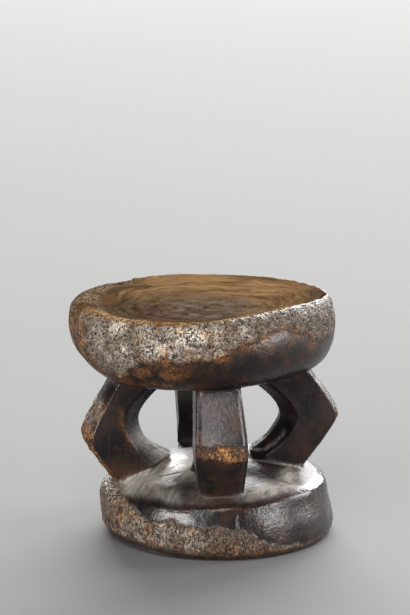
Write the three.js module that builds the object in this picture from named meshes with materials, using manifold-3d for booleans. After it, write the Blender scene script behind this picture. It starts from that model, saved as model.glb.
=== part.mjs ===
// A carved wooden stool, cut from one log: a thick, round, dished seat on four bent legs that stand on a round foot.
// Units are millimetres and +Z is up. The stool is shaped as it is seen from its front, with +X to the right and
// +Y away from the viewer. It is then turned about Z, so that the windows between its legs face along X and Y,
// and set down with the middle of its bounding box's underside at the origin.

import * as THREE from "three";
import { mergeVertices } from "three/addons/utils/BufferGeometryUtils.js";
import Module from "manifold-3d";

const wasm = await Module();
wasm.setup();

const { lerp, clamp, degToRad } = THREE.MathUtils;
const FULL_TURN = 2 * Math.PI;

// How far the finished stool is turned about Z.
const WINDOW_TURN = degToRad(37);

// The seat and the foot are worn and carved by eye, so their sizes change around them. Each list of eight holds
// the size at every 45 degrees, counted from the right-hand side by way of the back.
const SEAT = {
  sides: 84,
  centre: -8.8,
  dishFloor: 263,
  crestRadius: [142, 143, 140, 142, 139, 131, 133.5, 129],
  crestHeight: [281.2, 278.5, 277.5, 276.5, 275, 275, 278.2, 285.5],
  shoulderPower: [1, 1, 0.9, 0.75, 0.65, 0.8, 0.9, 1],
  widestRadius: [153, 152, 151.5, 153, 153.5, 152, 151, 152],
  widestHeight: [252, 251, 249, 248, 248, 247, 248, 250],
  bulgePower: [3.2, 3, 2.6, 2.2, 2, 2, 2.4, 3],
  edgeRadius: [128, 125, 121, 117, 115, 113, 115, 122],
  edgeHeight: [198, 198, 196, 193, 190, 192, 196, 200],
  undersideHeight: 184,
};
const FOOT = {
  sides: 84,
  centre: 2.9,
  middleHeight: 97,
  domePower: [1.8, 2, 1.2, 1.5, 2.2, 2.5, 1.4, 1.6],
  rimRadius: [131.5, 131, 131, 131.5, 131.5, 131, 131, 131],
  rimHeight: [65, 66, 65, 60, 55, 60, 64, 66],
  sideRadius: [142, 138, 134, 131, 129, 128, 130, 137],
  soleRadius: [133.5, 130, 125, 117, 110, 110.5, 119.5, 128.5],
};

// The legs. Each bends out in its own direction, from its head at the seat by way of its knee to its heel on the
// foot. Its outer radius, half width, sideways shift and inner facets' depth are given at these three places. Its
// arch is the widest inner radius, the height of that, and how sharply the arch draws in below.
const LEGS = [
  {
    direction: 6,
    kneeHeight: 142.5,
    bluntness: 9,
    outer: [111, 148.5, 100],
    halfWidth: [24, 30, 22.5],
    sideways: [0, 0, 0],
    arch: [82, 138, 1.4],
    facet: [20, 18, 16],
  },
  {
    direction: 96,
    kneeHeight: 138,
    bluntness: 9,
    outer: [111, 147, 100],
    halfWidth: [24, 28.5, 27],
    sideways: [0, 0, 0],
    arch: [84, 140, 1.7],
    facet: [20, 20, 24],
  },
  {
    direction: 194,
    kneeHeight: 124,
    bluntness: 12,
    outer: [110, 149.5, 113.5],
    halfWidth: [24, 29, 23],
    sideways: [0, 0, 0],
    arch: [87, 142, 2],
    facet: [22, 22, 46],
  },
  {
    direction: 275.5,
    kneeHeight: 130,
    bluntness: 9,
    outer: [110, 149, 106.5],
    halfWidth: [24, 29.5, 22.5],
    sideways: [-1, -0.5, 5],
    arch: [84, 140, 1.7],
    facet: [20, 20, 26],
  },
];
const LEG = {
  levels: 24,
  headHeight: 200,
  heelHeight: 66,
  buried: 14,
  edgeBevel: 4.5,
  ridgeHalfWidth: 8,
};

// Inside, every leg follows an arch that is widest about halfway up and draws in above and below.
const ARCH = {
  upperDrop: 21,
  upperReach: 31,
  upperPower: 1.7,
  lowerDrop: 38,
  lowerReach: 50,
  smallest: 34,
};

// A smooth closed curve through values that are evenly spaced around the stool.
function around(values) {
  const count = values.length;
  return (angle) => {
    const place = (angle / FULL_TURN) * count;
    const first = Math.floor(place);
    const t = place - first;
    const [a, b, c, d] = [-1, 0, 1, 2].map((step) => values[(first + step + count) % count]);
    return b + 0.5 * t * (c - a + t * (2 * a - 5 * b + 4 * c - d + t * (3 * (b - c) + d - a)));
  };
}

// A closed skin of columns around and rows from its top pole to its bottom pole. pointAt places each crossing.
function skin(columns, rows, pointAt) {
  const geometry = new THREE.SphereGeometry(1, columns, rows);
  geometry.deleteAttribute("normal");
  geometry.deleteAttribute("uv");
  const position = geometry.getAttribute("position");
  for (let row = 0; row <= rows; row++) {
    for (let column = 0; column <= columns; column++) {
      const point = pointAt(column % columns, row);
      position.setXYZ(row * (columns + 1) + column, point.x, point.y, point.z);
    }
  }
  return mergeVertices(geometry, 1e-4);
}

// A round body whose outline changes with the angle. profileAt gives radius and height pairs from top to bottom.
function turned({ sides, centre }, profileAt) {
  const angles = Array.from({ length: sides }, (_, side) => (side / sides) * FULL_TURN);
  const profiles = angles.map(profileAt);
  return skin(sides, profiles[0].length - 1, (side, row) => {
    const [radius, height] = profiles[side][row];
    return new THREE.Vector3(
      centre + radius * Math.cos(angles[side]),
      radius * Math.sin(angles[side]),
      height,
    );
  });
}

// The values of every list in a set of sizes at one angle.
function sizesAt(sizes, angle) {
  const entries = Object.entries(sizes);
  return Object.fromEntries(
    entries.map(([name, value]) => [name, Array.isArray(value) ? around(value)(angle) : value]),
  );
}

function seat() {
  return turned(SEAT, (angle) => {
    const s = sizesAt(SEAT, angle);
    const dish = [0, 0.3, 0.55, 0.75, 0.88, 0.96].map((share) => [
      share * s.crestRadius,
      lerp(s.dishFloor, s.crestHeight - 1, share ** 2.4),
    ]);
    const crest = [[s.crestRadius, s.crestHeight]];
    const shoulder = [0.2, 0.4, 0.6, 0.8, 1].map((share) => [
      lerp(s.crestRadius, s.widestRadius, Math.sin((share * Math.PI) / 2) ** s.shoulderPower),
      lerp(s.widestHeight, s.crestHeight, Math.cos((share * Math.PI) / 2) ** s.shoulderPower),
    ]);
    const bulge = [0.24, 0.45, 0.63, 0.78, 0.9].map((share) => [
      lerp(s.widestRadius, s.edgeRadius, share ** s.bulgePower),
      lerp(s.widestHeight, s.edgeHeight, share),
    ]);
    const edge = [[s.edgeRadius, s.edgeHeight]];
    const underside = [0.9, 0.6, 0].map((share) => [
      share * s.edgeRadius,
      lerp(s.undersideHeight, s.edgeHeight - 1, share),
    ]);
    return [...dish, ...crest, ...shoulder, ...bulge, ...edge, ...underside];
  });
}

function foot() {
  return turned(FOOT, (angle) => {
    const s = sizesAt(FOOT, angle);
    const dome = [0, 0.3, 0.55, 0.75, 0.9].map((share) => [
      share * s.rimRadius,
      lerp(s.middleHeight, s.rimHeight, share ** s.domePower),
    ]);
    const rim = [
      [s.rimRadius - 1.5, s.rimHeight],
      [s.rimRadius + 0.5, s.rimHeight - 5],
    ];
    const wall = [0.65, 0.42, 0.25].map((share) => [
      lerp(s.sideRadius, s.rimRadius + 1, (share - 0.25) / 0.6),
      share * s.rimHeight,
    ]);
    const heel = [
      [lerp(s.soleRadius, s.sideRadius, 0.75), 7],
      [lerp(s.soleRadius, s.sideRadius, 0.4), 2.2],
      [s.soleRadius, 0],
      [0, 0],
    ];
    return [...dome, ...rim, ...wall, ...heel];
  });
}

// How far a leg's inner ridge is from the stool's middle.
function archRadius([widest, widestHeight, lowerPower], height) {
  const away = height - widestHeight;
  const drop =
    away > 0
      ? ARCH.upperDrop * (away / ARCH.upperReach) ** ARCH.upperPower
      : ARCH.lowerDrop * (-away / ARCH.lowerReach) ** lowerPower;
  return Math.max(widest - drop, ARCH.smallest);
}

// A leg's size at a height, from its sizes at the head, the knee and the heel. It changes in two straight slopes
// that meet in a knee, rounded as much as the bluntness says.
function legSize(shape, [head, knee, heel], bluntness, height) {
  const above = height > shape.kneeHeight;
  const endHeight = above ? LEG.headHeight : LEG.heelHeight;
  const rounded = (distance) => Math.hypot(distance, bluntness) - bluntness;
  const share = rounded(height - shape.kneeHeight) / rounded(endHeight - shape.kneeHeight);
  return lerp(knee, above ? head : heel, share);
}

// A leg's level section: a flat outer face with bevelled edges, two sides, and two facets that meet in a blunt
// ridge towards the stool's middle.
function legSection(shape, height) {
  const outer = legSize(shape, shape.outer, shape.bluntness, height);
  const half = legSize(shape, shape.halfWidth, 20, height);
  const sideways = legSize(shape, shape.sideways, 20, height);
  const facet = legSize(shape, shape.facet, 20, height);
  const inner = archRadius(shape.arch, height);
  const oneSide = [
    [outer, half - LEG.edgeBevel],
    [outer - LEG.edgeBevel, half],
    [inner + facet, half],
    [inner, LEG.ridgeHalfWidth],
  ];
  const otherSide = oneSide.toReversed().map(([radius, side]) => [radius, -side]);
  return [...oneSide, ...otherSide].map(([radius, side]) => [radius, side + sideways]);
}

function leg(shape) {
  const low = LEG.heelHeight - LEG.buried;
  const high = LEG.headHeight + LEG.buried;
  const direction = degToRad(shape.direction);
  const lastRow = LEG.levels + 2;
  return skin(8, lastRow, (column, row) => {
    const height = lerp(high, low, clamp((row - 1) / LEG.levels, 0, 1));
    const section = legSection(shape, height);
    const isPole = row === 0 || row === lastRow;
    const [radius, side] = isPole ? [(section[0][0] + section[3][0]) / 2, 0] : section[column];
    return new THREE.Vector3(
      radius * Math.cos(direction) - side * Math.sin(direction),
      radius * Math.sin(direction) + side * Math.cos(direction),
      height,
    );
  });
}

function solid(geometry) {
  return new wasm.Manifold(
    new wasm.Mesh({
      numProp: 3,
      vertProperties: geometry.getAttribute("position").array,
      triVerts: new Uint32Array(geometry.index.array),
    }),
  );
}

function geometryOf(body) {
  const { vertProperties, triVerts } = body.getMesh();
  const geometry = new THREE.BufferGeometry();
  geometry.setAttribute("position", new THREE.BufferAttribute(vertProperties, 3));
  geometry.setIndex(new THREE.BufferAttribute(triVerts, 1));
  return geometry;
}

// The whole stool is one piece of wood, so its parts are joined into one solid.
const carved = [foot(), ...LEGS.map(leg)].map(solid).reduce((body, piece) => body.add(piece), solid(seat()));

const shape = geometryOf(carved).rotateZ(WINDOW_TURN);
shape.computeBoundingBox();
const { min, max } = shape.boundingBox;
shape.translate(-(min.x + max.x) / 2, -(min.y + max.y) / 2, -min.z);
shape.computeVertexNormals();

const darkWood = new THREE.MeshStandardMaterial({ color: 0x3a2417, roughness: 0.5, metalness: 0 });
const stool = new THREE.Mesh(shape, darkWood);
stool.name = "stool";

const root = new THREE.Group();
root.add(stool);
export default root;
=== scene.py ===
from functools import reduce
from math import cos, pi, radians, sin, tan

import bpy
import numpy as np
from mathutils import Matrix, Vector, noise


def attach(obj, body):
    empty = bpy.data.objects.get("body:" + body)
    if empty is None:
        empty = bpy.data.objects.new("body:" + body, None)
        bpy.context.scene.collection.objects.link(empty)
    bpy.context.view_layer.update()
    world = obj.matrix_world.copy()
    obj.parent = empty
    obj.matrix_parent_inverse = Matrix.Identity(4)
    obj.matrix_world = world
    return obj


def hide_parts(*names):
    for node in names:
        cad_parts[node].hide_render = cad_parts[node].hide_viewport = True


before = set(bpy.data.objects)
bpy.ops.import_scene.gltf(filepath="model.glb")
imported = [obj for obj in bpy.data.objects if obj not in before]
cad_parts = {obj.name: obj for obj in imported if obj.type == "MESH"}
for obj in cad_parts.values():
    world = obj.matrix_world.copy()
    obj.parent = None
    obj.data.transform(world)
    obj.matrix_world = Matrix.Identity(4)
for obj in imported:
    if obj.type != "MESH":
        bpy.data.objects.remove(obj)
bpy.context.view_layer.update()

# The stool's front is turned about Z from the frame's -Y, and the log's axis stands a little off the origin.
FRONT_TURN = radians(37)
LOG_AXIS = Vector((0.00751, 0.00526, 0))

# The view, from the front and a little above the seat.
AIM = Vector((0.0030, 0.0019, 0.2655))
VIEW_DISTANCE = 2.648
VIEW_RISE = 12
LENS = 134.63

# The studio's lights are so far off that they light the floor evenly.
LIGHT_DISTANCE = 40
STOOL_MIDDLE = Vector((0, 0, 0.14))
WHITE = (1, 1, 1)
WARM_WHITE = (1, 0.98, 0.95)

# The width of the skin's cells before the relief is cut, and the height under which the sole stays flat, in
# metres. Then the most triangles that the finished piece may keep.
SKIN_CELL = 0.0011
FLAT_SOLE = 0.0015
MOST_TRIANGLES = 195000

# The rounds of smoothing that take the facets off the legs, and off the seat and the foot, and the rounds
# that show where the skin has edges and inner corners.
LEG_SMOOTHING = 18
ROUND_SMOOTHING = 60
EDGE_SMOOTHING = 30

# From here on the stool's own sizes are in millimetres, in the front frame: X to the right, Y away from the
# viewer and Z up, from the log's axis. Angles are counted in degrees from the right by way of the back.
METRE = 1000
MILLIMETRE = 1 / METRE
SEAT_CENTRE = -8.8
SEAT_BOTTOM = 190
SEAT_EDGE = 118
FOOT_CENTRE = 2.9
FOOT_MIDDLE = 97
FOOT_RIM = 65
FOOT_RADIUS = 131
FOOT_DOME_POWER = 1.6
LEG_DIRECTIONS = {"right": 6, "rear": 96, "left": 194, "front": 275.5}
LEG_HALF_WIDTH = 24

# How far the borders of the wear wander from the lines given here.
RAGGEDNESS = 6

# How far apart two random patterns start, and the height up to which a lump is part of a groove.
PATTERN_STEP = 31.7
GROOVE = 0.13

# The radius at which the bare dish ends at each angle, and the one that the rubbed shoulder reaches.
DISH_EDGE = {
    0: 136, 20: 137.5, 45: 139.5, 65: 143, 120: 141, 140: 137, 165: 127, 185: 121, 205: 127, 220: 137,
    235: 140, 262: 140, 275: 135, 290: 130, 315: 126, 335: 131,
}
SHOULDER_EDGE = {
    0: 142, 60: 149, 110: 155, 135: 166, 185: 158, 205: 147, 225: 142, 262: 142, 275: 139, 290: 136, 305: 134,
    315: 132, 325: 131, 335: 132,
}

# The height at which the seat's crust ends at each angle, and how pale the crust is there, from 0 to 1.
CRUST_BOTTOM = {
    0: 248, 60: 252, 120: 246, 150: 222, 185: 198, 225: 206, 240: 224, 255: 235, 272: 236, 282: 247, 296: 262,
    308: 267, 316: 259, 323: 248, 333: 239, 345: 240,
}
# At the seat's front and near right this paleness is partly painted glints.
CRUST_PALENESS_AND_GLINTS = {
    0: 0, 90: 0.25, 160: 0.25, 195: 0.2, 215: 0.4, 232: 0.9, 265: 1, 280: 0.68, 295: 0.28, 312: 0.1,
    335: 0.08,
}

# The height that the foot's crust reaches at each angle, and how pale the crust is there, from 0 to 1.
FOOT_CRUST_TOP = {
    0: 4, 60: 10, 120: 18, 150: 34, 170: 58, 185: 76, 208: 72, 222: 60, 234: 44, 262: 42, 272: 40, 284: 36,
    293: 25, 302: 15, 320: 9,
}
FOOT_CRUST_PALENESS = {
    0: 0.1, 150: 0.2, 190: 0.24, 228: 0.36, 242: 0.55, 258: 0.45, 270: 0.16, 300: 0.1,
}

# The heights between which each leg's outer face is rubbed rough, how soft those ends are, and how strong
# it is.
RUBBED_KNEES = {
    "left": {"low": 68, "high": 164, "soft": 6, "strength": 1},
    "front": {"low": 121, "high": 139, "soft": 3, "strength": 1},
    "right": {"low": 134, "high": 149, "soft": 4, "strength": 0.7},
    "rear": {"low": 130, "high": 146, "soft": 4, "strength": 0.5},
}

# Where a blade has left the foot's top uneven between the legs: low rises, and a hollow with a height
# below zero.
FOOT_SWELLS = [
    {"path": [(-26, -58, 89), (-34, -74, 85)], "height": 3, "width": 22},
    {"path": [(-72, -84, 74), (-48, -97, 73)], "height": 5.5, "width": 15},
    {"path": [(20, -60, 87), (58, -62, 83), (92, -52, 78)], "height": -4, "width": 17},
    {"path": [(68, -97, 71), (108, -64, 68)], "height": 3, "width": 14},
]

# The foot's side swells out at one height, and its upper edge is worn round at another.
FOOT_BULGE = {"middle": 33, "reach": 12, "out": 2.1}
FOOT_WORN_EDGE = {"middle": 60, "reach": 11, "out": -2.9}

# Dust and painted sheen on the foot between the left and the front leg, and painted sheen on the left leg's
# inner facet. These and the marks below are given as the points that they pass.
DUST_AND_SHEEN_PATCH = [(-74, -58, 82), (-44, -52, 88), (-20, -46, 92), (10, 60, 92)]
SHEEN_FACET = [(-76, -30, 122), (-66, -28, 107), (-56, -26, 96)]

# A dark patch on the foot's top, left of the front leg, and a dark and a rusty stain at the left of the dish.
DARK_PATCH = [(-36, -84, 79), (-22, -92, 78), (-6, -100, 75)]
DARK_STAIN = [(-129, 58, 272), (-116, 71, 271), (-101, 85, 271), (-76, 97, 270)]
RUSTY_STAIN = [(-130, 8, 270), (-113, 24, 267)]

# Marks that age and the carver's tools have left.
FOOT_CRACK = [(34, -112, 69), (32, -128, 57), (31, -129, 39), (30, -129, 21)]
TOOL_MARKS = [
    [(-60, -66, 82), (-48, -70, 83), (-34, -68, 85)],
    [(58, -48, 85), (75, -52, 81), (92, -60, 74)],
]
# Pale lines along the creases and arrises by the legs' feet, partly dust and partly painted highlights.
DUST_AND_HIGHLIGHT_LINES = [
    [(-104, -47, 67), (-86, -47, 77), (-61, -39, 87), (-45, -29, 92)],
    [(46, -22, 91), (75, -18, 85), (104, -13, 79)],
    [(-8, -100, 72), (14, -104, 71), (34, -99, 73)],
    [(-80, -28, 122), (-68, -25, 108), (-54, -22, 97), (-44, -21, 92)],
    [(54, -5, 95), (66, -11, 99), (77, -13, 108), (86, -12, 121)],
]
RUBBED_ARRIS = [(-102, -54, 158), (-100, -54, 146), (-97, -53, 132), (-90, -52, 118)]
SIDE_NICKS = [
    [(10, -141, 220), (13, -139, 216)],
    [(7, -134, 211), (10, -132, 209)],
    [(-117, -59, 128), (-117, -58, 105)],
    [(-98, -54, 113), (-98, -53, 104)],
]

# How far the crack, the nicks and the creases reach to each side of their lines, and how deep the cuts are.
CRACK_WIDTH = 1.3
NICK_WIDTH = 1.1
CREASE_WIDTH = 1.9
CUT_DEPTH = 0.9

# Colours of the patina, as linear red, green, blue and alpha.
BLACK_PATINA = (0.004, 0.003, 0.0028, 1)
BROWN_PATINA = (0.022, 0.011, 0.009, 1)
FADED_FIBRE = (0.032, 0.019, 0.016, 1)
RED_BROWN = (0.05, 0.016, 0.008, 1)
GREY_SCUFF = (0.075, 0.062, 0.062, 1)
AMBER_PIT = (0.02, 0.009, 0.004, 1)
AMBER = (0.25, 0.098, 0.028, 1)
# The pale colour of dust, which on the foot's top and in the creases also stands for painted sheen.
DUST_AND_SHEEN = (0.42, 0.385, 0.35, 1)
CUT = (0.008, 0.006, 0.005, 1)

# Colours of the crust. On the seat the pale ones partly stand for painted glints.
CRUST_PIT = (0.03, 0.0135, 0.006, 1)
BROWN_CRUST = (0.085, 0.045, 0.022, 1)
CREAM = (0.87, 0.77, 0.64, 1)
TAN = (0.6, 0.35, 0.18, 1)
ASH = (0.58, 0.59, 0.57, 1)
CLAY = (0.3, 0.2, 0.13, 1)
DEEP_GOLD = (0.05, 0.018, 0.006, 1)
DARK_GOLD = (0.11, 0.038, 0.011, 1)
BRIGHT_GOLD = (0.64, 0.3, 0.09, 1)

# The rings of the bare dish, and how much they change along themselves.
RINGS_PER_METRE = 170
RING_CHANGE = (1.6, 1.6, 1.6)

# Colours of the bare dish. Where there are two, the second is the lighter and warmer one.
LIGHT_RINGS = [(0.076, 0.05, 0.029, 1), (0.235, 0.14, 0.066, 1)]
DARK_RINGS = [(0.017, 0.009, 0.004, 1), (0.085, 0.043, 0.016, 1)]
DULL_STAIN = (0.03, 0.018, 0.01, 1)
# Black for the dark stain, and for painted shade inside the dish's edge at the near right.
BLACK_STAIN_AND_SHADE = (0.02, 0.012, 0.007, 1)
RUST_STAIN = (0.07, 0.03, 0.01, 1)
# A grey painted sheen on the dish's middle.
GREY_SHEEN = (0.135, 0.105, 0.08, 1)
LIP_PITS = [(0.012, 0.008, 0.004, 1), (0.035, 0.016, 0.006, 1)]
# The lip's pale grains are partly painted glints.
LIP_GRAINS_AND_GLINTS = [(0.25, 0.185, 0.12, 1), (0.46, 0.3, 0.165, 1)]
LIP_RUST = [(0.06, 0.026, 0.009, 1), (0.15, 0.064, 0.019, 1)]


def direction(turn, rise=0.0):
    """A unit vector: turn is counted from the stool's right by way of its back, in degrees."""
    flat = radians(turn) + FRONT_TURN
    up = radians(rise)
    return Vector((cos(up) * cos(flat), cos(up) * sin(flat), sin(up)))


def camera():
    data = bpy.data.cameras.new("view")
    data.lens = LENS
    view = bpy.data.objects.new("view", data)
    bpy.context.scene.collection.objects.link(view)
    view.location = AIM + VIEW_DISTANCE * direction(270, VIEW_RISE)
    view.rotation_euler = (pi / 2 - radians(VIEW_RISE), 0, FRONT_TURN)
    bpy.context.scene.camera = view


def softbox(name, turn, rise, width, height, brightness, colour=WHITE):
    """A far, soft light. Its width and height are the angles that it spans, seen from the stool."""
    data = bpy.data.lights.new(name, "AREA")
    data.shape = "RECTANGLE"
    data.size = 2 * LIGHT_DISTANCE * tan(radians(width / 2))
    data.size_y = 2 * LIGHT_DISTANCE * tan(radians(height / 2))
    data.energy = brightness * pi * data.size * data.size_y
    data.color = colour
    lamp = bpy.data.objects.new(name, data)
    bpy.context.scene.collection.objects.link(lamp)
    lamp.location = STOOL_MIDDLE + LIGHT_DISTANCE * direction(turn, rise)
    lamp.rotation_euler = (lamp.location - STOOL_MIDDLE).to_track_quat("Z", "Y").to_euler()
    lamp.visible_camera = False


def studio():
    softbox("key window", turn=78, rise=24, width=62, height=20, brightness=20)
    softbox("right window", turn=16, rise=18, width=26, height=26, brightness=13)
    softbox("left wall", turn=233, rise=8.5, width=28, height=16, brightness=24, colour=WARM_WHITE)
    softbox("right wall", turn=329, rise=7, width=20, height=13, brightness=23)
    softbox("front top", turn=266, rise=46, width=26, height=26, brightness=8, colour=WARM_WHITE)
    softbox("ceiling", turn=80, rise=72, width=40, height=40, brightness=1.5)
    world = bpy.data.worlds.new("studio air")
    world.use_nodes = True
    air = world.node_tree.nodes["Background"]
    air.inputs["Color"].default_value = (0.8, 0.81, 0.83, 1)
    air.inputs["Strength"].default_value = 0.1
    bpy.context.scene.world = world
    bpy.context.scene.view_settings.view_transform = "Standard"


def new_material(name):
    """A new material and its surface shader."""
    material = bpy.data.materials.new(name)
    material.use_nodes = True
    return material, material.node_tree.nodes["Principled BSDF"]


def floor():
    bpy.ops.object.select_all(action="DESELECT")
    bpy.ops.mesh.primitive_plane_add(size=60, location=(0, 0, 0))
    ground = bpy.context.object
    ground.name = "pale_floor"
    pale, paint = new_material("pale floor")
    paint.inputs["Base Color"].default_value = (0.17, 0.17, 0.167, 1)
    paint.inputs["Roughness"].default_value = 0.85
    ground.data.materials.append(pale)


def smooth_step(low, high, value):
    """0 at low and 1 at high, with a smooth change between them. Low may be the larger one."""
    share = np.clip((value - low) / (high - low), 0, 1)
    return share * share * (3 - 2 * share)


def band(low, high, soft, value):
    """1 between low and high, and 0 outside, with soft ends."""
    return smooth_step(low - soft, low + soft, value) * (1 - smooth_step(high - soft, high + soft, value))


def hump(middle, reach, value):
    """1 at the middle, fading to 0 about two reaches away from it."""
    return np.exp(-(((value - middle) / reach) ** 2))


def around(border, angle):
    """A border's radius, height or strength at each angle."""
    return np.interp(angle, list(border), list(border.values()), period=360)


def lumps(points, size, start, layers=1):
    """Random lumps of about the given size, with finer ones on them, from about -1 to 1.

    Each start gives a pattern of its own.
    """
    spots = (points / np.asarray(size, float) + PATTERN_STEP * start).tolist()
    return np.array([noise.fractal(spot, 1.0, 2.0, layers) for spot in spots])


def crevices(points, size, start):
    """Rounded lumps with narrow winding grooves between them, from -1 in the grooves to 1."""
    size = np.asarray(size, float)
    bend = np.stack([lumps(points, 1.6 * size, start + side) for side in (0.1, 0.2, 0.3)], axis=1)
    return 1 - 2 * hump(0, GROOVE, lumps(points + 0.7 * bend * size, size, start))


def scoops(points, size, start):
    """The shallow hollows of a carver's blade, from 0 in their middles to about 1 between them."""
    spots = (points / size + PATTERN_STEP * start).tolist()
    return np.array([noise.voronoi(spot)[0][0] for spot in spots]) ** 2


def only_where(mask, pattern, points, size, **settings):
    """The pattern times the mask, worked out only where the mask isn't empty."""
    result = np.zeros(len(mask))
    used = mask > 0.01
    result[used] = mask[used] * pattern(points[used], size, **settings)
    return result


def stroke(points, path, width):
    """1 along the path, fading to 0 about two widths away from it."""
    nearest = np.full(len(points), np.inf)
    for start, end in zip(np.array(path[:-1], float), np.array(path[1:], float)):
        way = end - start
        share = np.clip((points - start) @ way / (way @ way), 0, 1)
        nearest = np.minimum(nearest, np.linalg.norm(points - start - share[:, None] * way, axis=1))
    return hump(0, width, nearest)


def strokes(points, paths, width):
    """1 along any of the paths."""
    return np.max([stroke(points, path, width) for path in paths], axis=0)


def vectors_of(mesh, what):
    """The places or the normals of a mesh's points."""
    numbers = np.empty(len(mesh.vertices) * 3)
    mesh.vertices.foreach_get(what, numbers)
    return numbers.reshape(-1, 3)


def keep(mesh, name, amounts):
    """Stores one amount for each point of a mesh, which the finish can read by its name."""
    layer = mesh.attributes.new(name, "FLOAT", "POINT")
    layer.data.foreach_set("value", np.asarray(amounts, np.float32))


def kept(mesh, name):
    """The amounts that are stored for each point of a mesh under a name."""
    amounts = np.empty(len(mesh.vertices))
    mesh.attributes[name].data.foreach_get("value", amounts)
    return amounts


def select_alone(piece):
    bpy.ops.object.select_all(action="DESELECT")
    piece.select_set(True)
    bpy.context.view_layer.objects.active = piece


def modify(piece, kind, **settings):
    """Adds one modifier to the piece and applies it."""
    select_alone(piece)
    modifier = piece.modifiers.new(kind.lower(), kind)
    for name, value in settings.items():
        setattr(modifier, name, value)
    bpy.ops.object.modifier_apply(modifier=modifier.name)


def softened(piece, rounds):
    """Where the piece's points would be after so many rounds of smoothing."""
    copy = bpy.data.objects.new("softened", piece.data.copy())
    bpy.context.scene.collection.objects.link(copy)
    modify(copy, "SMOOTH", factor=0.5, iterations=rounds)
    points = vectors_of(copy.data, "co")
    bpy.data.meshes.remove(copy.data)
    return points


def blank():
    """A merged copy of the stool's solid, with an even skin that is fine enough to carve."""
    piece = bpy.data.objects.new("carved_stool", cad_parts["stool"].data.copy())
    bpy.context.scene.collection.objects.link(piece)
    piece.data.materials.clear()
    select_alone(piece)
    bpy.ops.object.mode_set(mode="EDIT")
    bpy.ops.mesh.select_all(action="SELECT")
    bpy.ops.mesh.remove_doubles(threshold=1e-6)
    bpy.ops.object.mode_set(mode="OBJECT")
    modify(piece, "REMESH", mode="VOXEL", voxel_size=SKIN_CELL)
    return piece


class Surface:
    """Where the skin's points are on the stool, and which of its parts they belong to."""

    def __init__(self, points, normals, edge=None):
        self.edge = edge
        turn = np.array(Matrix.Rotation(FRONT_TURN, 3, "Z"))
        self.points = METRE * (points - np.array(LOG_AXIS)) @ turn
        self.normals = normals @ turn
        x, y, self.height = self.points.T
        self.seat_radius = np.hypot(x - SEAT_CENTRE, y)
        self.seat_angle = np.mod(np.degrees(np.arctan2(y, x - SEAT_CENTRE)), 360)
        self.foot_radius = np.hypot(x - FOOT_CENTRE, y)
        self.foot_angle = np.mod(np.degrees(np.arctan2(y, x - FOOT_CENTRE)), 360)
        dome = np.minimum(self.foot_radius / FOOT_RADIUS, 1) ** FOOT_DOME_POWER
        dome_height = FOOT_MIDDLE - (FOOT_MIDDLE - FOOT_RIM) * dome
        self.seat = smooth_step(SEAT_BOTTOM - 6, SEAT_BOTTOM + 4, self.height)
        self.foot = 1 - smooth_step(dome_height + 1, dome_height + 6, self.height)
        self.legs = (1 - self.seat) * (1 - self.foot)

    def on_seat(self, low, high, soft):
        """1 between two angles around the seat."""
        return band(low, high, soft, self.seat_angle)

    def on_foot(self, low, high, soft):
        """1 between two angles around the foot."""
        return band(low, high, soft, self.foot_angle)

    def beside(self, name):
        """How far each point is along and across a leg's direction, and how much it faces that way."""
        turn = radians(LEG_DIRECTIONS[name])
        way = np.array([cos(turn), sin(turn)])
        sideways = np.array([-sin(turn), cos(turn)])
        return self.points[:, :2] @ way, self.points[:, :2] @ sideways, self.normals[:, :2] @ way

    def outer_face(self, name):
        """How much each point belongs to the named leg's outer face."""
        along, _, facing = self.beside(name)
        return self.legs * smooth_step(60, 75, along) * smooth_step(0.35, 0.7, facing)


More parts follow.
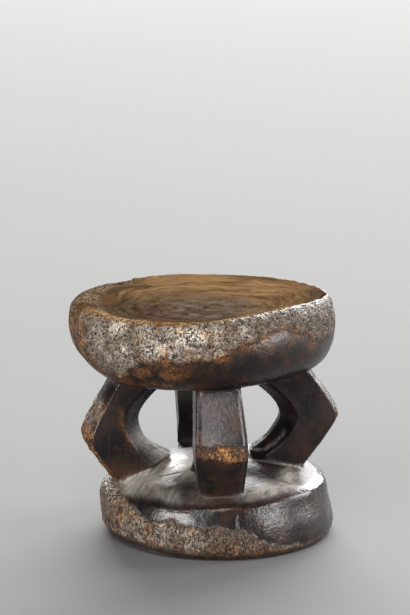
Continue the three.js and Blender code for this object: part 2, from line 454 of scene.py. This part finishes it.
class Wear:
    """How much each kind of wear shows at each point of the skin, from 0 to 1."""

    def __init__(self, skin):
        self.skin = skin
        self.ragged = RAGGEDNESS * lumps(skin.points, 24, start=1, layers=4)
        self.patchy = smooth_step(-0.25, 0.35, lumps(skin.points, 22, start=2, layers=3))
        self.height = skin.height + self.ragged
        self.ragged_points = skin.points + self.ragged[:, None]

        self.past_dish = skin.seat_radius - around(DISH_EDGE, skin.seat_angle) + 0.3 * self.ragged
        self.dish = skin.seat * smooth_step(240, 250, skin.height) * (1 - smooth_step(-2, 2, self.past_dish))
        self.side = skin.seat * smooth_step(SEAT_EDGE - 13, SEAT_EDGE, skin.seat_radius) * (1 - self.dish)
        self.above_border = self.height - around(CRUST_BOTTOM, skin.seat_angle)
        self.seat_crust = self.side * smooth_step(-3, 4, self.above_border)
        past_shoulder = skin.seat_radius - around(SHOULDER_EDGE, skin.seat_angle) + 0.4 * self.ragged
        self.shoulder = self.side * smooth_step(256, 262, skin.height)
        self.shoulder *= 1 - smooth_step(-4, 3, past_shoulder)

        foot_side = skin.foot * smooth_step(FOOT_RADIUS - 26, FOOT_RADIUS - 16, skin.foot_radius)
        self.foot_side = foot_side * smooth_step(-0.6, -0.2, skin.normals[:, 2])
        above_foot_crust = self.height - around(FOOT_CRUST_TOP, skin.foot_angle)
        self.foot_crust = self.foot_side * (1 - smooth_step(-5, 4, above_foot_crust))
        self.foot_top = skin.foot * (1 - smooth_step(FOOT_RADIUS - 13, FOOT_RADIUS - 5, skin.foot_radius))
        self.knees = np.clip(sum(self.knee(name) for name in RUBBED_KNEES), 0, 1)

    def knee(self, name):
        """The named leg's rubbed face."""
        rub = RUBBED_KNEES[name]
        heights = band(rub["low"], rub["high"], rub["soft"], self.height)
        return rub["strength"] * self.skin.outer_face(name) * heights

    def patches(self, least):
        """Wear that is patchy, and nowhere below the least."""
        return least + (1 - least) * self.patchy

    def amber(self):
        """Wood that is rubbed through to amber."""
        skin = self.skin
        side = self.side
        # The lower border of the seat's crust, and the patina just below it.
        amount = side * hump(-1, 6, self.above_border) * skin.on_seat(195, 325, 12) * self.patches(0.3)
        amount += 0.4 * side * band(-20, -2, 5, self.above_border) * skin.on_seat(225, 322, 12) * self.patchy
        # The seat's far left, its lower edge at the left, and the rim at the near right.
        under_rim = 1 - smooth_step(262, 270, self.height)
        amount += side * skin.on_seat(168, 211, 5) * under_rim * self.patches(0.75)
        amount += side * band(198, 222, 6, skin.height) * skin.on_seat(195, 262, 10) * self.patchy
        rim = side * smooth_step(262, 266, skin.height) * smooth_step(7, 2, self.past_dish)
        amount += 0.8 * rim * skin.on_seat(262, 350, 8) + 0.3 * self.shoulder
        # The foot's lower edge and its crust.
        amount += self.foot_side * hump(0, 9, skin.height) * skin.on_foot(185, 330, 15) * self.patches(0.5)
        upright = lumps(skin.points, (12, 12, 20), start=16, layers=2)
        amount += 0.5 * self.foot_crust * smooth_step(0.1, 0.5, upright)
        # The legs: their knees, one arris, the left leg's heel and all their edges.
        amount += self.knees * (1 - 0.7 * smooth_step(132, 142, self.height) * skin.outer_face("left"))
        amount += 1.3 * skin.legs * stroke(skin.points, RUBBED_ARRIS, 2.3)
        amount += 0.3 * skin.legs * skin.on_foot(176, 215, 8) * (1 - smooth_step(86, 100, self.height))
        amount += 0.5 * skin.legs * smooth_step(0.25, 0.8, skin.edge) * self.patchy
        return np.clip(amount, 0, 1)

    def pale(self):
        """How pale the crust is. At the seat's front and near right the paleness is partly painted glints."""
        skin = self.skin
        amount = around(CRUST_PALENESS_AND_GLINTS, skin.seat_angle) * self.seat_crust
        amount += around(FOOT_CRUST_PALENESS, skin.foot_angle) * self.foot_crust
        amount += 0.35 * self.knee("left") * band(136, 164, 5, self.height)
        amount += 0.35 * self.seat_crust * smooth_step(256, 266, skin.height) * skin.on_seat(195, 232, 8)
        return amount * (1 - 0.9 * self.shoulder) * self.patches(0.45)

    def lip(self):
        """The crusty lip of the dish, which is wider at the front."""
        width = 7 + 11 * self.skin.on_seat(210, 345, 10)
        near_edge = smooth_step(-1, -0.15, (self.past_dish + 0.7 * self.ragged) / width)
        return near_edge * self.skin.on_seat(120, 345, 15)

    def dark_stain_and_shade(self):
        """The dark stain at the left of the dish, and painted shade along its edge at the near right."""
        amount = stroke(self.ragged_points, DARK_STAIN, 9)
        # Painted shade inside the dish's edge at the near right.
        amount += 0.6 * self.skin.on_seat(294, 350, 8) * smooth_step(-24, -14, self.past_dish)
        return np.clip(amount, 0, 1)

    def scuffs(self):
        """Grey scuffs on the upper front and right leg, under the seat's crust and on the foot's side."""
        skin = self.skin
        front = 0.4 * smooth_step(137, 150, self.height) + 0.6 * smooth_step(160, 190, self.height)
        amount = skin.outer_face("front") * front
        amount += 0.6 * skin.outer_face("right") * smooth_step(150, 156, self.height)
        amount += 0.2 * skin.seat * band(-14, 3, 4, self.above_border) * skin.on_seat(285, 350, 8)
        amount += 0.2 * (skin.foot - self.foot_top) * skin.on_foot(255, 360, 10) * self.patchy
        return np.clip(amount, 0, 1)

    def dust_and_sheen(self):
        """Dust and painted sheen on the foot's top and in the creases, and painted sheen on a leg's inner
        facet.
        """
        skin = self.skin
        # On the foot's top the pale film is partly dust and partly painted sheen.
        amount = 0.3 * skin.on_foot(150, 262, 20) * self.patches(0.3)
        amount += 0.95 * stroke(self.ragged_points, DUST_AND_SHEEN_PATCH, 27)
        outer_part = smooth_step(80, 98, skin.foot_radius)
        amount += 0.9 * skin.on_foot(286, 350, 8) * outer_part * self.patches(0.4)
        # Painted sheen on the left leg's lower inner facet.
        amount = self.foot_top * amount + 0.75 * skin.legs * stroke(skin.points, SHEEN_FACET, 14)
        amount *= 1 - stroke(self.ragged_points, DARK_PATCH, 11)
        # Pale lines along the creases, partly dust and partly painted highlights.
        creases = strokes(skin.points + 0.3 * self.ragged[:, None], DUST_AND_HIGHLIGHT_LINES, CREASE_WIDTH)
        return np.maximum(amount, creases * (skin.foot + skin.legs))

    def gloss(self):
        """The shiny crust at the seat's right."""
        return self.seat_crust * self.skin.on_seat(285, 352, 12) * self.patches(0.4)

    def for_the_finish(self):
        """Every kind of wear by the name that the materials read."""
        return {
            "dish": self.dish,
            "shoulder": self.shoulder,
            "lip": self.lip(),
            "dark_stain_and_shade": self.dark_stain_and_shade(),
            "rusty_stain": stroke(self.ragged_points, RUSTY_STAIN, 13),
            "seat_crust": self.seat_crust,
            "foot_crust": self.foot_crust,
            "knees": self.knees,
            "amber": self.amber(),
            "pale": self.pale(),
            "gloss": self.gloss(),
            "scuffs": self.scuffs(),
            "dust_and_sheen": self.dust_and_sheen(),
            "foot": self.skin.foot,
            "foot_top": self.foot_top,
        }


def broad_relief(skin, wear):
    """How far the skin stands out over whole areas, in millimetres."""
    height = skin.height

    # Gentle unevenness all over, a blade's hollows on the smooth wood, and some loss where the wood is worn.
    out = 0.8 * lumps(skin.points, 60, start=3) + 0.4 * lumps(skin.points, 26, start=4)
    smooth = 1 - np.clip(wear.seat_crust + wear.foot_crust + wear.knees + wear.dish, 0, 1)
    out += 0.4 * only_where(smooth, scoops, skin.points, 17, start=5)
    out += 0.1 * lumps(skin.points, 6, start=6, layers=2)
    out -= 0.6 * wear.foot_crust + 0.4 * wear.knees

    # The notch in the rim at the upper left.
    notch = smooth_step(124.5, 126.5, skin.seat_angle) * (1 - smooth_step(127, 150, skin.seat_angle))
    out -= 1.8 * notch * smooth_step(262, 270, height) * smooth_step(126, 137, skin.seat_radius)

    # The swells of the foot's top, and its rounded side and rim.
    for swell in FOOT_SWELLS:
        out += swell["height"] * skin.foot * stroke(skin.points, swell["path"], swell["width"])
    rounded = skin.on_foot(205, 345, 12) - 0.5 * skin.on_foot(272, 360, 12)
    rounded *= skin.foot * smooth_step(105, 120, skin.foot_radius)
    for form in (FOOT_BULGE, FOOT_WORN_EDGE):
        out += form["out"] * rounded * hump(form["middle"], form["reach"], height)

    # The legs' outer faces are slightly convex, and their inner facets flare out towards the foot.
    for name in LEG_DIRECTIONS:
        along, across, facing = skin.beside(name)
        out -= 2 * skin.outer_face(name) * (across / LEG_HALF_WIDTH) ** 2
        inner = (1 - skin.seat) * band(20, 100, 6, along) * band(-45, 45, 4, across)
        out += 7 * inner * smooth_step(0.15, 0.4, -facing) * (1 - smooth_step(84, 116, height))
    return out


def fine_relief(skin, wear):
    """How far the crust, the rubbed knees and the dish's rings stand out, in millimetres."""
    points = skin.points
    out = 0.3 * only_where(wear.seat_crust, crevices, points, (6, 6, 8), start=7)
    out += 0.25 * only_where(wear.seat_crust, crevices, points, (3.4, 3.4, 4.4), start=8)
    out += 0.7 * only_where(wear.seat_crust, lumps, points, 14, start=9, layers=3)
    out += 0.3 * only_where(wear.foot_crust, crevices, points, (4, 4, 14), start=10)
    out += 0.6 * only_where(wear.foot_crust, lumps, points, (5, 5, 16), start=11, layers=3)
    out += 0.4 * only_where(wear.knees, crevices, points, (4.5, 4.5, 6), start=12)
    out += 1.5 * only_where(wear.knees, lumps, points, 11, start=13, layers=3)
    rings = np.stack([skin.seat_radius, points[:, 0] / 12, points[:, 1] / 12], axis=1)
    return out + 0.14 * only_where(wear.dish, lumps, rings, 4.5, start=14, layers=2)


def cuts(points):
    """The crack, tool marks and nicks, from 0 to 1."""
    bent = points + 1.5 * lumps(points, 9, start=15)[:, None]
    crack = stroke(bent, FOOT_CRACK, CRACK_WIDTH)
    small = np.maximum(strokes(bent, TOOL_MARKS, CRACK_WIDTH), strokes(bent, SIDE_NICKS, NICK_WIDTH))
    return np.maximum(crack, 0.8 * small)


def carve(piece):
    """Softens the facets, cuts the relief into the skin and keeps the wear as attributes for the finish."""
    mesh = piece.data
    crisp = softened(piece, LEG_SMOOTHING)
    soft = softened(piece, ROUND_SMOOTHING)
    parts = Surface(crisp, vectors_of(mesh, "normal"))
    turned = np.clip(parts.seat + parts.foot, 0, 1)[:, None]
    base = soft * turned + crisp * (1 - turned)
    mesh.vertices.foreach_set("co", base.ravel())
    mesh.update()

    # An edge stands out from a softer skin, and an inner corner lies below it, where the relief is calmer.
    normals = vectors_of(mesh, "normal")
    edge = METRE * ((base - softened(piece, EDGE_SMOOTHING)) * normals).sum(axis=1)
    calm = 1 - 0.8 * smooth_step(-0.1, -0.5, edge)

    skin = Surface(base, normals, edge)
    wear = Wear(skin)
    fine = fine_relief(skin, wear)
    cut = cuts(skin.points)
    out = calm * (broad_relief(skin, wear) + fine) - CUT_DEPTH * cut
    carved = base + MILLIMETRE * out[:, None] * normals
    carved[:, 2] = np.where(base[:, 2] < FLAT_SOLE, base[:, 2], carved[:, 2])
    mesh.vertices.foreach_set("co", carved.ravel())
    for name, amounts in {**wear.for_the_finish(), "fine": fine, "cut": cut}.items():
        keep(mesh, name, amounts)
    mesh.update()


def stool():
    piece = blank()
    carve(piece)
    triangles = sum(len(face.vertices) - 2 for face in piece.data.polygons)
    modify(piece, "DECIMATE", ratio=MOST_TRIANGLES / triangles, use_collapse_triangulate=True)
    select_alone(piece)
    bpy.ops.object.shade_smooth()
    piece.data.materials.append(worn_wood())
    piece.data.materials.append(bare_wood())
    bare = kept(piece.data, "dish") + kept(piece.data, "shoulder")
    for face in piece.data.polygons:
        face.material_index = int(bare[face.vertices].mean() > 0.5)
    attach(piece, "root")
    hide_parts("stool")


# The kinds of socket that a node group can have.
NUMBER = "NodeSocketFloat"
VECTOR = "NodeSocketVector"
COLOUR = "NodeSocketColor"


class Bench:
    """A node tree, with short ways to add to it."""

    def __init__(self, tree):
        self.tree = tree

    def add(self, kind, sockets, **settings):
        node = self.tree.nodes.new("ShaderNode" + kind)
        for name, value in settings.items():
            setattr(node, name, value)
        for name, value in sockets.items():
            self.feed(node.inputs[name], value)
        return node

    def feed(self, socket, value):
        """Links a socket to another one, or sets it to a plain value."""
        if isinstance(value, bpy.types.NodeSocket):
            self.tree.links.new(value, socket)
        else:
            socket.default_value = value

    def place(self):
        return self.add("TexCoord", {}).outputs["Object"]

    def attribute(self, name):
        return self.add("Attribute", {}, attribute_name=name).outputs["Fac"]

    def maths(self, operation, *numbers, clamp=False):
        return self.add("Math", dict(enumerate(numbers)), operation=operation, use_clamp=clamp).outputs[0]

    def chain(self, operation, numbers):
        """Several numbers taken together, two at a time."""
        return reduce(lambda so_far, number: self.maths(operation, so_far, number), numbers)

    def times(self, *numbers):
        return self.chain("MULTIPLY", numbers)

    def total(self, *numbers):
        return self.chain("ADD", numbers)

    def largest(self, *numbers):
        return self.chain("MAXIMUM", numbers)

    def from_middle(self, pattern):
        """How far a pattern is above its middle level."""
        return self.maths("SUBTRACT", pattern, 0.5)

    def vector(self, operation, *vectors, output=0):
        return self.add("VectorMath", dict(enumerate(vectors)), operation=operation).outputs[output]

    def between(self, value, low, high, to_low=0.0, to_high=1.0):
        """A smooth change from one number to another while the value passes from low to high."""
        sockets = {"Value": value, "From Min": low, "From Max": high, "To Min": to_low, "To Max": to_high}
        return self.add("MapRange", sockets, interpolation_type="SMOOTHSTEP").outputs["Result"]

    def blend(self, factor, low, high):
        """A number between two. The Mix node's sockets for numbers are 0, 2 and 3."""
        return self.add("Mix", {0: factor, 2: low, 3: high}, data_type="FLOAT").outputs[0]

    def mix(self, factor, low, high):
        """A colour between two. The Mix node's sockets for colours are 0, 6 and 7."""
        return self.add("Mix", {0: factor, 6: low, 7: high}, data_type="RGBA").outputs[2]

    def bump(self, height):
        """The normal of a relief whose height is given in millimetres."""
        return self.add("Bump", {"Height": height, "Distance": MILLIMETRE, "Strength": 1.0}).outputs["Normal"]

    def effect(self, name, sockets, output):
        return self.add("Group", sockets, node_tree=bpy.data.node_groups[name]).outputs[output]

    def grain(self, place, size, detail=3, roughness=0.55, waviness=0, stretch=(1, 1, 1), shift=(0, 0, 0)):
        """Spots of about the given size, in metres."""
        sockets = {"Place": place, "Stretch": stretch, "Shift": shift, "Spots per Metre": 1 / size}
        sockets.update({"Detail": detail, "Roughness": roughness, "Waviness": waviness})
        return self.effect("wood grain", sockets, "Grain")

    def stain(self, colour, stain, pattern, starts, full, strength=1.0):
        """A colour, stained where the pattern is past one level, and most where it is past another."""
        sockets = {"Colour": colour, "Stain": stain, "Pattern": pattern}
        sockets.update({"Starts At": starts, "Full At": full, "Strength": strength})
        return self.effect("wood stain", sockets, "Colour")


def new_effect(name, inputs):
    """A node group with named inputs, as a bench, and the sockets that they have inside it."""
    group = bpy.data.node_groups.new(name, "ShaderNodeTree")
    for socket, kind in inputs.items():
        group.interface.new_socket(socket, in_out="INPUT", socket_type=kind)
    return Bench(group), group.nodes.new("NodeGroupInput").outputs


def give(bench, name, kind, value):
    """Makes the node group's one output."""
    bench.tree.interface.new_socket(name, in_out="OUTPUT", socket_type=kind)
    bench.feed(bench.tree.nodes.new("NodeGroupOutput").inputs[name], value)


def grain_effect():
    """Both woods' grain: soft random spots, which can be stretched and moved."""
    bench, given = new_effect("wood grain", {
        "Place": VECTOR,
        "Stretch": VECTOR,
        "Shift": VECTOR,
        "Spots per Metre": NUMBER,
        "Detail": NUMBER,
        "Roughness": NUMBER,
        "Waviness": NUMBER,
    })
    spots = bench.add("TexNoise", {
        "Vector": bench.vector("MULTIPLY_ADD", given["Place"], given["Stretch"], given["Shift"]),
        "Scale": given["Spots per Metre"],
        "Detail": given["Detail"],
        "Roughness": given["Roughness"],
        "Distortion": given["Waviness"],
    })
    give(bench, "Grain", NUMBER, spots.outputs["Fac"])


def stain_effect():
    """Both woods' stains: a second colour where a pattern passes from one level to another."""
    bench, given = new_effect("wood stain", {
        "Colour": COLOUR,
        "Stain": COLOUR,
        "Pattern": NUMBER,
        "Starts At": NUMBER,
        "Full At": NUMBER,
        "Strength": NUMBER,
    })
    amount = bench.between(given["Pattern"], given["Starts At"], given["Full At"], 0.0, given["Strength"])
    give(bench, "Colour", COLOUR, bench.mix(amount, given["Colour"], given["Stain"]))


def worn_wood():
    """Black-brown patina, pale and amber crust with partly painted glints, and dusty spots with painted
    sheen.
    """
    material, surface = new_material("worn dark wood")
    wood = Bench(material.node_tree)
    place = wood.place()
    rubbed = wood.attribute("amber")
    foot = wood.attribute("foot")
    foot_crust = wood.attribute("foot_crust")
    foot_top = wood.attribute("foot_top")
    scuffs = wood.attribute("scuffs")
    knees = wood.attribute("knees")
    crust = wood.maths("ADD", wood.attribute("seat_crust"), wood.total(foot_crust, knees), clamp=True)

    # Large and small blotches, from the widest to the finest.
    cloud = wood.grain(place, 0.07, 4, shift=(3.1, 0.4, 1.7))
    mottle = wood.grain(place, 0.03, 5)
    hue = wood.grain(place, 0.016, 3, shift=(5.3, 1.4, 2.7))
    patch = wood.grain(place, 0.012, 3, shift=(1.3, 2.4, 0.7))
    speckle = wood.grain(place, 0.0036, 2, 0.6, shift=(2.2, 3.3, 0.1))

    # Lines that run up the wood, along its fibres, and others that wiping and brushing have left across it.
    fibre = wood.grain(place, 0.0028, 4, stretch=(1, 1, 0.07))
    streak = wood.grain(place, 0.0025, 4, 0.65, stretch=(1, 1, 0.14))
    wiping = wood.grain(place, 0.0022, 3, stretch=(0.14, 0.14, 1))
    brushed = wood.grain(place, 0.0032, 4, 0.6, 0.4, stretch=(1, 0.2, 0.2))

    # The crust's grains, upright on the foot and the knees, and the wrinkles between them.
    round_grit = wood.grain(place, 0.0022, 2, 0.6, 0.8)
    upright_grit = wood.grain(place, 0.0023, 3, 0.6, 0.7, stretch=(1, 1, 0.35))
    grit = wood.blend(wood.largest(foot_crust, knees), round_grit, upright_grit)
    fold = wood.from_middle(wood.grain(place, 0.0058, 3, 0.6, 1.0))
    wrinkle = wood.between(wood.maths("ABSOLUTE", fold), 0, 0.07)

    # The patina, which is scuffed in places and rubbed through to amber in others.
    patina = wood.stain(BLACK_PATINA, BROWN_PATINA, mottle, 0.4, 0.66)
    patina = wood.stain(patina, FADED_FIBRE, fibre, 0.5, 0.75, 0.4)
    patina = wood.stain(patina, RED_BROWN, hue, 0.54, 0.68, 0.5)
    scuffed = wood.times(scuffs, wood.between(cloud, 0.35, 0.6, 0.3, 1))
    patina = wood.stain(patina, GREY_SCUFF, streak, 0.3, 0.72, scuffed)
    amber = wood.stain(AMBER_PIT, AMBER, grit, 0.36, 0.7)
    patina = wood.mix(wood.times(rubbed, wood.between(patch, 0.3, 0.55, 0.35, 1)), patina, amber)

    # The crust: dark pits between raised grains, which are brown, pale or golden.
    gold = wood.stain(DARK_GOLD, BRIGHT_GOLD, speckle, 0.38, 0.62)
    gold = wood.stain(gold, DEEP_GOLD, patch, 0.56, 0.4, 0.75)
    light = wood.stain(CREAM, TAN, hue, 0.5, 0.64, 0.65)
    light = wood.stain(light, ASH, hue, 0.46, 0.34, 0.4)
    light = wood.stain(light, CLAY, mottle, 0.5, 0.66, 0.5)
    # Where the seat's crust is pale, the pale grains partly stand for painted glints.
    raised = wood.mix(wood.attribute("pale"), BROWN_CRUST, light)
    raised = wood.mix(wood.times(rubbed, 0.9), raised, gold)
    grains = wood.total(
        wood.times(wood.from_middle(grit), 4.0),
        wood.times(wrinkle, 0.74),
        wood.times(wood.attribute("fine"), 0.34),
        wood.times(wood.from_middle(patch), 1.2),
    )
    colour = wood.mix(crust, patina, wood.mix(grains, CRUST_PIT, raised))

    # Brushed dust with painted sheen, and the dark inside of the cuts.
    dust_and_sheen = wood.times(wood.attribute("dust_and_sheen"), wood.between(brushed, 0.36, 0.6, 0.45, 1))
    colour = wood.mix(wood.times(dust_and_sheen, 0.85), colour, DUST_AND_SHEEN)
    wood.feed(surface.inputs["Base Color"], wood.mix(wood.attribute("cut"), colour, CUT))

    # How rough the sheen is. The foot and the seat's right are shinier, and rubbed crust and the dust with
    # its painted sheen are dull.
    sheen = wood.total(wood.between(cloud, 0.35, 0.7, 0.25, 0.35), wood.between(speckle, 0.4, 0.65, 0, 0.08))
    sheen = wood.times(sheen, wood.blend(foot, 1, 0.82), wood.blend(wood.attribute("gloss"), 1, 0.75))
    dull = wood.largest(wood.times(foot_top, 0.53), wood.times(rubbed, crust, 0.55), wood.times(dust_and_sheen, 0.75))
    wood.feed(surface.inputs["Roughness"], wood.largest(sheen, dull))

    # Heights in millimetres.
    rough = wood.largest(crust, wood.times(scuffs, 0.12))
    pits = wood.times(wood.total(wood.times(wrinkle, 0.25), grit), rough, 4.0)
    lines = wood.times(wood.blend(foot, fibre, wiping), wood.blend(foot, 0.16, 0.3))
    brush_lines = wood.times(brushed, foot_top, 0.7)
    height = wood.total(pits, wood.times(speckle, 0.4), lines, brush_lines)
    wood.feed(surface.inputs["Normal"], wood.bump(height))
    return material


def bare_wood():
    """The dish's dry wood: fine rings around the log, warmer at the back and the right, with a crusty lip."""
    material, surface = new_material("bare ringed wood")
    wood = Bench(material.node_tree)
    place = wood.place()
    lip = wood.attribute("lip")

    # Where a point lies from the log's axis, how warm the wood is there, and how near the front.
    level = wood.vector("MULTIPLY", wood.vector("SUBTRACT", place, LOG_AXIS), (1, 1, 0))
    radius = wood.vector("LENGTH", level, output="Value")
    heading = wood.vector("NORMALIZE", level)
    backward = wood.vector("DOT_PRODUCT", level, direction(90), output="Value")
    rightward = wood.vector("DOT_PRODUCT", level, direction(0), output="Value")
    glow = wood.times(wood.between(rightward, 0, 0.08, 0, 0.6), wood.between(rightward, 0.13, 0.095))
    warmth = wood.maths("ADD", wood.between(backward, 0, 0.125), glow, clamp=True)
    near = wood.between(backward, -0.02, -0.09)

    # The rings wander where the log has grown unevenly, and change slowly along themselves.
    wander = wood.times(wood.grain(place, 0.05, 4), 0.045)
    outward = wood.times(wood.total(radius, wander), RINGS_PER_METRE)
    outward = wood.add("CombineXYZ", {"Z": outward}).outputs[0]
    ring_place = wood.vector("MULTIPLY_ADD", heading, RING_CHANGE, outward)
    rings = wood.grain(ring_place, 1.0, 6, 0.72)
    colour = wood.stain(wood.mix(warmth, *DARK_RINGS), wood.mix(warmth, *LIGHT_RINGS), rings, 0.34, 0.66)

    # The stains, and a grey painted sheen on the middle.
    blotch = wood.grain(place, 0.045, 4, 0.6, stretch=(1, 1, 3))
    colour = wood.stain(colour, DULL_STAIN, blotch, 0.48, 0.64, wood.between(warmth, 0.8, 0.3, 0.1, 0.5))
    # The dark stain, and painted shade inside the dish's edge at the near right.
    colour = wood.mix(wood.times(wood.attribute("dark_stain_and_shade"), 0.75), colour, BLACK_STAIN_AND_SHADE)
    colour = wood.mix(wood.times(wood.attribute("rusty_stain"), 0.7), colour, RUST_STAIN)
    smear = wood.grain(place, 0.018, 4, 0.65, shift=(0.4, 1.1, 0.2))
    grey_sheen = wood.times(wood.between(smear, 0.42, 0.64, 0.1, 0.75), wood.between(radius, 0.1, 0.03, 0.15, 1))
    colour = wood.mix(grey_sheen, colour, GREY_SHEEN)

    # The crusty lip, whose pale grains are partly painted glints.
    grains = wood.between(wood.grain(place, 0.0021, 3, 0.65, 0.8), 0.4, 0.6)
    crusty = wood.mix(grains, wood.mix(near, *LIP_PITS), wood.mix(near, *LIP_GRAINS_AND_GLINTS))
    crusty = wood.stain(crusty, wood.mix(near, *LIP_RUST), smear, 0.46, 0.6, 0.75)
    wood.feed(surface.inputs["Base Color"], wood.mix(lip, colour, crusty))

    surface.inputs["Roughness"].default_value = 0.75
    surface.inputs["Specular IOR Level"].default_value = 0.0
    height = wood.total(wood.times(grains, lip, 0.7), wood.times(rings, 0.4))
    wood.feed(surface.inputs["Normal"], wood.bump(height))
    return material


camera()
studio()
floor()
grain_effect()
stain_effect()
stool()
